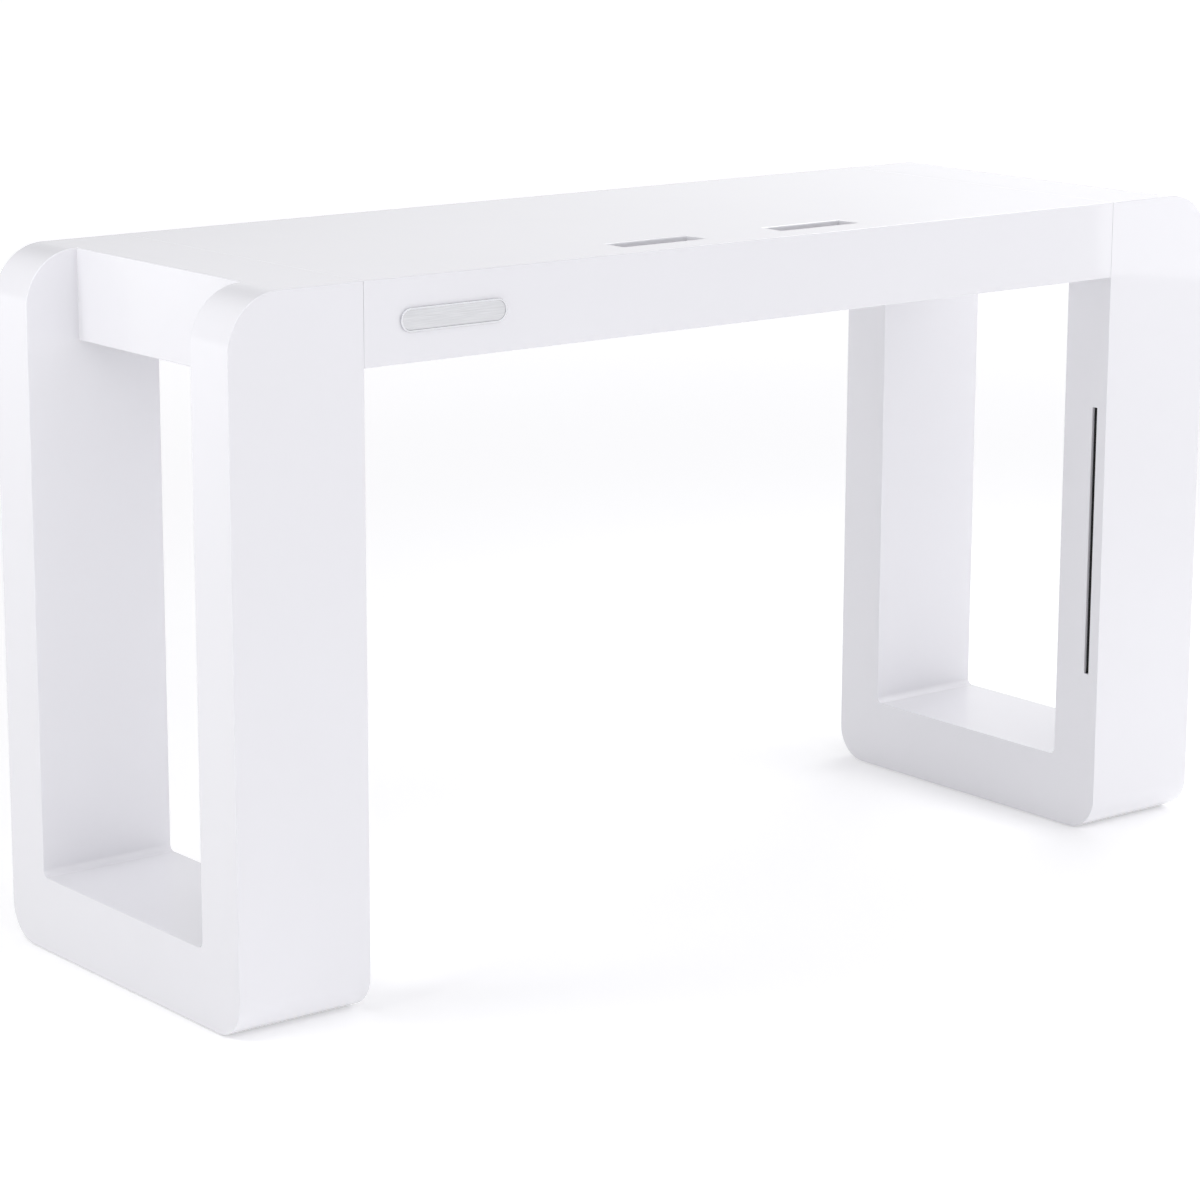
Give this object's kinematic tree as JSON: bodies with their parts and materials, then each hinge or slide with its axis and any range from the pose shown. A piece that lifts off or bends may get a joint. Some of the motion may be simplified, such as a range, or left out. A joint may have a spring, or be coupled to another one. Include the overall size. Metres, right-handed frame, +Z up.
{
  "type": "loop-leg console table",
  "caption": "Gloss white table: open loop legs with round corners carry a hollow beam worktop with cable slots; levelling feet below.",
  "frame": {"origin": "on the floor, under the middle of the desk's outer box", "axes": "+X along the desk, to the right as seen from the side with the badge; +Y from the badge side to the far side; +Z up"},
  "size_m": [1.632, 0.5358, 0.9],
  "materials": {
    "white_lacquer": "high-gloss white lacquer on fibreboard",
    "fibreboard": "raw fibreboard",
    "hardwood": "sawn beech",
    "zinc_steel": "bright zinc plate",
    "badge_metal": "satin silver plate",
    "black_rubber": "matt black",
    "pad_plastic": "matt black"
  },
  "bodies": {
    "desk": {"badge_plate": "badge_metal", "beam_bottom_panel": "white_lacquer", "beam_front_apron": "white_lacquer", "beam_left_end_plate": "fibreboard", "beam_left_nut_strip": "zinc_steel", "beam_left_rib": "fibreboard", "beam_rear_apron": "white_lacquer", "beam_right_end_plate": "fibreboard", "beam_right_nut_strip": "zinc_steel", "beam_right_rib": "fibreboard", "beam_top_panel": "white_lacquer", "left_end_panel": "white_lacquer", "left_front_bolt": "zinc_steel", "left_front_cleat": "hardwood", "left_front_cover_screw": "zinc_steel", "left_front_foot_block": "hardwood", "left_front_foot_insert": "zinc_steel", "left_front_post_cap": "white_lacquer", "left_groove_strip": "black_rubber", "left_inner_frame": "white_lacquer", "left_middle_bolt": "zinc_steel", "left_opening_liner": "white_lacquer", "left_outer_cheek": "white_lacquer", "left_outer_wrap": "white_lacquer", "left_rear_bolt": "zinc_steel", "left_rear_cleat": "hardwood", "left_rear_cover_screw": "zinc_steel", "left_rear_foot_block": "hardwood", "left_rear_foot_insert": "zinc_steel", "left_rear_post_cap": "white_lacquer", "left_service_cover": "white_lacquer", "left_top_panel": "white_lacquer", "right_end_panel": "white_lacquer", "right_front_bolt": "zinc_steel", "right_front_cleat": "hardwood", "right_front_cover_screw": "zinc_steel", "right_front_foot_block": "hardwood", "right_front_foot_insert": "zinc_steel", "right_front_post_cap": "white_lacquer", "right_groove_strip": "black_rubber", "right_inner_frame": "white_lacquer", "right_middle_bolt": "zinc_steel", "right_opening_liner": "white_lacquer", "right_outer_cheek": "white_lacquer", "right_outer_wrap": "white_lacquer", "right_rear_bolt": "zinc_steel", "right_rear_cleat": "hardwood", "right_rear_cover_screw": "zinc_steel", "right_rear_foot_block": "hardwood", "right_rear_foot_insert": "zinc_steel", "right_rear_post_cap": "white_lacquer", "right_service_cover": "white_lacquer", "right_top_panel": "white_lacquer"},
    "left_front_foot": {"left_front_levelling_foot": "pad_plastic"},
    "left_rear_foot": {"left_rear_levelling_foot": "pad_plastic"},
    "right_front_foot": {"right_front_levelling_foot": "pad_plastic"},
    "right_rear_foot": {"right_rear_levelling_foot": "pad_plastic"}
  },
  "joints": [
    {"name": "left_front_foot_height", "type": "slide", "parent": "desk", "child": "left_front_foot", "axis": [0, 0, -1], "range_m": [0, 0.01]},
    {"name": "left_rear_foot_height", "type": "slide", "parent": "desk", "child": "left_rear_foot", "axis": [0, 0, -1], "range_m": [0, 0.01]},
    {"name": "right_front_foot_height", "type": "slide", "parent": "desk", "child": "right_front_foot", "axis": [0, 0, -1], "range_m": [0, 0.01]},
    {"name": "right_rear_foot_height", "type": "slide", "parent": "desk", "child": "right_rear_foot", "axis": [0, 0, -1], "range_m": [0, 0.01]}
  ]
}
